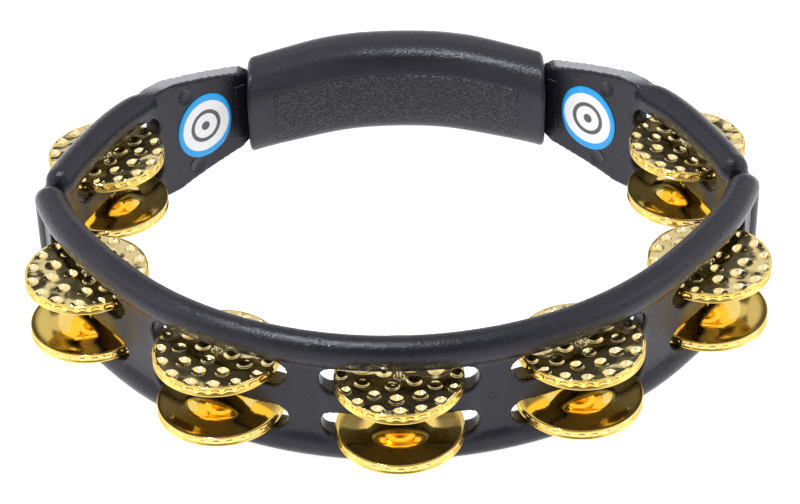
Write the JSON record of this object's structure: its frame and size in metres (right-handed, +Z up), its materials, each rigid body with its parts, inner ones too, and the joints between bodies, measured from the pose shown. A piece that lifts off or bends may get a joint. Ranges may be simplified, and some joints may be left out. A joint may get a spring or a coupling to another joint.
{
  "type": "hand-held tambourine",
  "caption": "Headless hand-held ring tambourine: a black moulded ring with paired brass jingles on pins in its wall and a rounded grip.",
  "frame": {"origin": "bottom centre of the bounding box: the middle of the ring, level with the lower rims' flats", "axes": "+Z up through the ring's open middle, +Y towards the grip, +X to the player's right with the grip held at the far side"},
  "size_m": [0.2696, 0.2437, 0.0514],
  "materials": {
    "frame_plastic": "satin black moulding with a very fine texture",
    "grip_rubber": "satin black with a grained panel on the inner face",
    "jingle_brass": "polished",
    "pin_steel": "bright, with a faint yellow tint",
    "label_face": "glossy, blue border and white centre"
  },
  "bodies": {
    "frame": {"front_frame": "frame_plastic", "rear_frame": "frame_plastic", "grip_inner_half": "grip_rubber", "grip_outer_half": "grip_rubber", "label_left": "label_face", "label_right": "label_face"},
    "pin_rear_left": {"pin_rear_left": "pin_steel"},
    "jingle_rear_left_upper": {"jingle_rear_left_upper": "jingle_brass"},
    "jingle_rear_left_lower": {"jingle_rear_left_lower": "jingle_brass"},
    "pin_front_left_outer": {"pin_front_left_outer": "pin_steel"},
    "jingle_front_left_outer_upper": {"jingle_front_left_outer_upper": "jingle_brass"},
    "jingle_front_left_outer_lower": {"jingle_front_left_outer_lower": "jingle_brass"},
    "pin_front_left": {"pin_front_left": "pin_steel"},
    "jingle_front_left_upper": {"jingle_front_left_upper": "jingle_brass"},
    "jingle_front_left_lower": {"jingle_front_left_lower": "jingle_brass"},
    "pin_front_centre": {"pin_front_centre": "pin_steel"},
    "jingle_front_centre_upper": {"jingle_front_centre_upper": "jingle_brass"},
    "jingle_front_centre_lower": {"jingle_front_centre_lower": "jingle_brass"},
    "pin_front_right": {"pin_front_right": "pin_steel"},
    "jingle_front_right_upper": {"jingle_front_right_upper": "jingle_brass"},
    "jingle_front_right_lower": {"jingle_front_right_lower": "jingle_brass"},
    "pin_front_right_outer": {"pin_front_right_outer": "pin_steel"},
    "jingle_front_right_outer_upper": {"jingle_front_right_outer_upper": "jingle_brass"},
    "jingle_front_right_outer_lower": {"jingle_front_right_outer_lower": "jingle_brass"},
    "pin_rear_right": {"pin_rear_right": "pin_steel"},
    "jingle_rear_right_upper": {"jingle_rear_right_upper": "jingle_brass"},
    "jingle_rear_right_lower": {"jingle_rear_right_lower": "jingle_brass"}
  },
  "joints": [
    {"name": "rear_left_spin", "type": "hinge", "parent": "frame", "child": "pin_rear_left", "pos_m": [-0.11182, 0.04038, 0.0257], "axis": [0, 0, 1], "continuous": true},
    {"name": "rear_left_upper_rattle", "type": "slide", "parent": "pin_rear_left", "child": "jingle_rear_left_upper", "axis": [0, 0, 1], "range_m": [0, 0.0028]},
    {"name": "rear_left_lower_rattle", "type": "slide", "parent": "pin_rear_left", "child": "jingle_rear_left_lower", "axis": [0, 0, 1], "range_m": [0, 0.0028]},
    {"name": "front_left_outer_spin", "type": "hinge", "parent": "frame", "child": "pin_front_left_outer", "pos_m": [-0.11186, -0.03613, 0.0257], "axis": [0, 0, 1], "continuous": true},
    {"name": "front_left_outer_upper_rattle", "type": "slide", "parent": "pin_front_left_outer", "child": "jingle_front_left_outer_upper", "axis": [0, 0, 1], "range_m": [0, 0.0028]},
    {"name": "front_left_outer_lower_rattle", "type": "slide", "parent": "pin_front_left_outer", "child": "jingle_front_left_outer_lower", "axis": [0, 0, 1], "range_m": [0, 0.0028]},
    {"name": "front_left_spin", "type": "hinge", "parent": "frame", "child": "pin_front_left", "pos_m": [-0.06245, -0.08328, 0.0257], "axis": [0, 0, 1], "continuous": true},
    {"name": "front_left_upper_rattle", "type": "slide", "parent": "pin_front_left", "child": "jingle_front_left_upper", "axis": [0, 0, 1], "range_m": [0, 0.0028]},
    {"name": "front_left_lower_rattle", "type": "slide", "parent": "pin_front_left", "child": "jingle_front_left_lower", "axis": [0, 0, 1], "range_m": [0, 0.0028]},
    {"name": "front_centre_spin", "type": "hinge", "parent": "frame", "child": "pin_front_centre", "pos_m": [0, -0.09955, 0.0257], "axis": [0, 0, 1], "continuous": true},
    {"name": "front_centre_upper_rattle", "type": "slide", "parent": "pin_front_centre", "child": "jingle_front_centre_upper", "axis": [0, 0, 1], "range_m": [0, 0.0028]},
    {"name": "front_centre_lower_rattle", "type": "slide", "parent": "pin_front_centre", "child": "jingle_front_centre_lower", "axis": [0, 0, 1], "range_m": [0, 0.0028]},
    {"name": "front_right_spin", "type": "hinge", "parent": "frame", "child": "pin_front_right", "pos_m": [0.06245, -0.08328, 0.0257], "axis": [0, 0, 1], "continuous": true},
    {"name": "front_right_upper_rattle", "type": "slide", "parent": "pin_front_right", "child": "jingle_front_right_upper", "axis": [0, 0, 1], "range_m": [0, 0.0028]},
    {"name": "front_right_lower_rattle", "type": "slide", "parent": "pin_front_right", "child": "jingle_front_right_lower", "axis": [0, 0, 1], "range_m": [0, 0.0028]},
    {"name": "front_right_outer_spin", "type": "hinge", "parent": "frame", "child": "pin_front_right_outer", "pos_m": [0.11186, -0.03613, 0.0257], "axis": [0, 0, 1], "continuous": true},
    {"name": "front_right_outer_upper_rattle", "type": "slide", "parent": "pin_front_right_outer", "child": "jingle_front_right_outer_upper", "axis": [0, 0, 1], "range_m": [0, 0.0028]},
    {"name": "front_right_outer_lower_rattle", "type": "slide", "parent": "pin_front_right_outer", "child": "jingle_front_right_outer_lower", "axis": [0, 0, 1], "range_m": [0, 0.0028]},
    {"name": "rear_right_spin", "type": "hinge", "parent": "frame", "child": "pin_rear_right", "pos_m": [0.11182, 0.04038, 0.0257], "axis": [0, 0, 1], "continuous": true},
    {"name": "rear_right_upper_rattle", "type": "slide", "parent": "pin_rear_right", "child": "jingle_rear_right_upper", "axis": [0, 0, 1], "range_m": [0, 0.0028]},
    {"name": "rear_right_lower_rattle", "type": "slide", "parent": "pin_rear_right", "child": "jingle_rear_right_lower", "axis": [0, 0, 1], "range_m": [0, 0.0028]}
  ]
}
